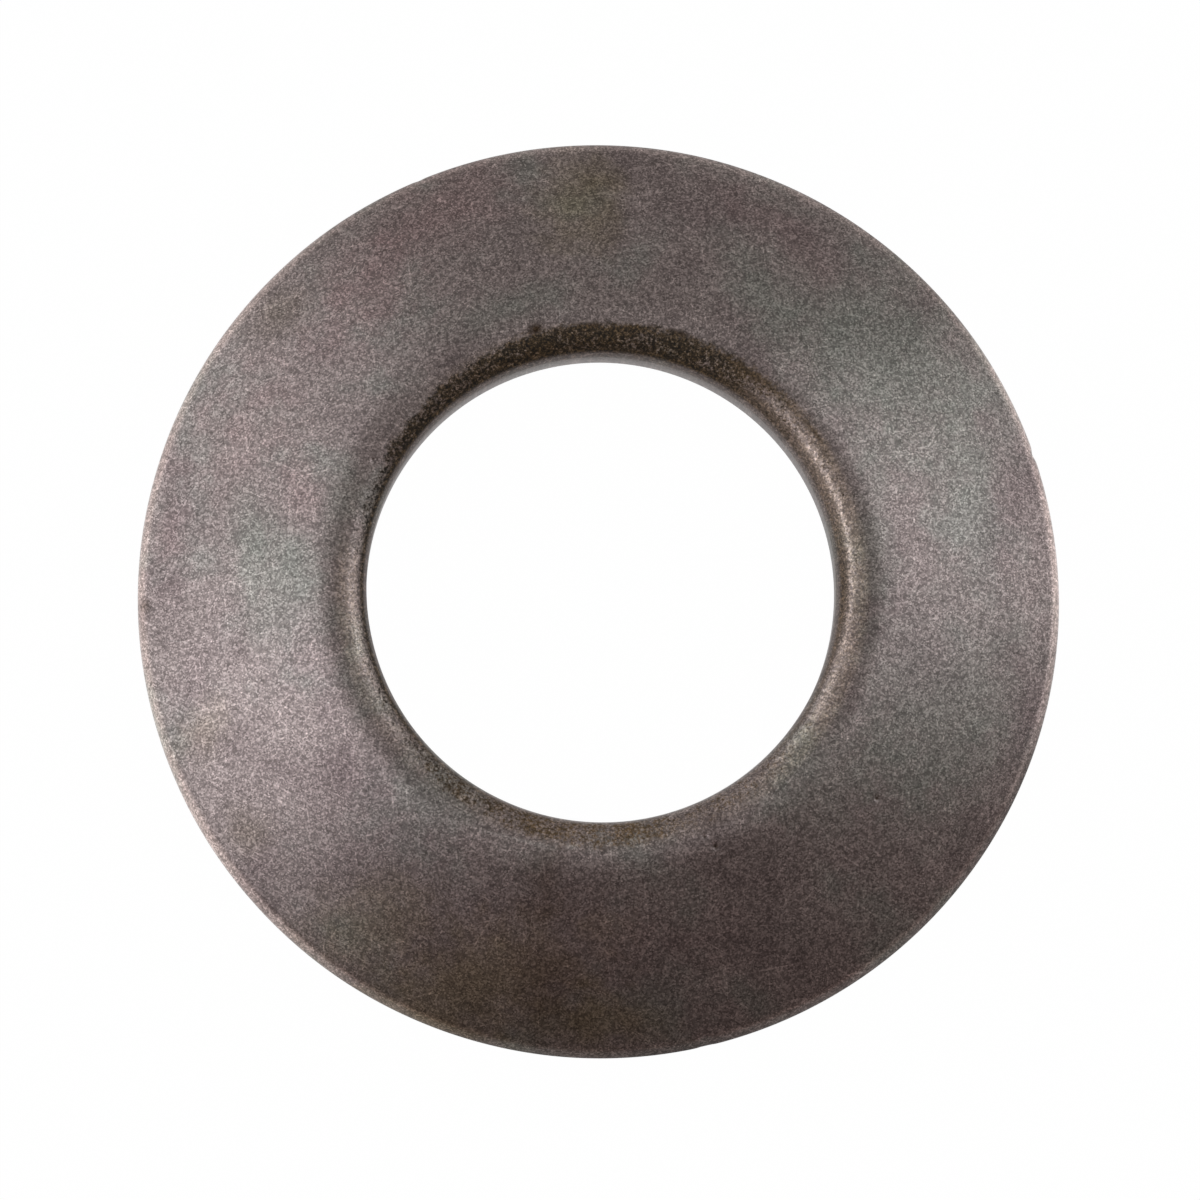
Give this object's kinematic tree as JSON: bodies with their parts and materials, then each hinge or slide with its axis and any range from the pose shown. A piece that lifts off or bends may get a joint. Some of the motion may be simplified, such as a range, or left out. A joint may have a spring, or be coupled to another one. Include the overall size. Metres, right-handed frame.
{
  "type": "pinion washer",
  "caption": "Dished round steel washer with a rolled lip at its bore, which fits over a pinion shaft and takes thrust along it.",
  "frame": {"origin": "centre of the circle that the washer rests on, on its axis", "axes": "+Z along the axis, out of the convex face"},
  "size_m": [0.0508, 0.0508, 0.0079],
  "materials": {
    "steel": "hardened and tumbled to a dark satin grey, with oil stains and a rusty band round the lip"
  },
  "bodies": {
    "root": {"pinion_washer": "steel"}
  },
  "joints": []
}
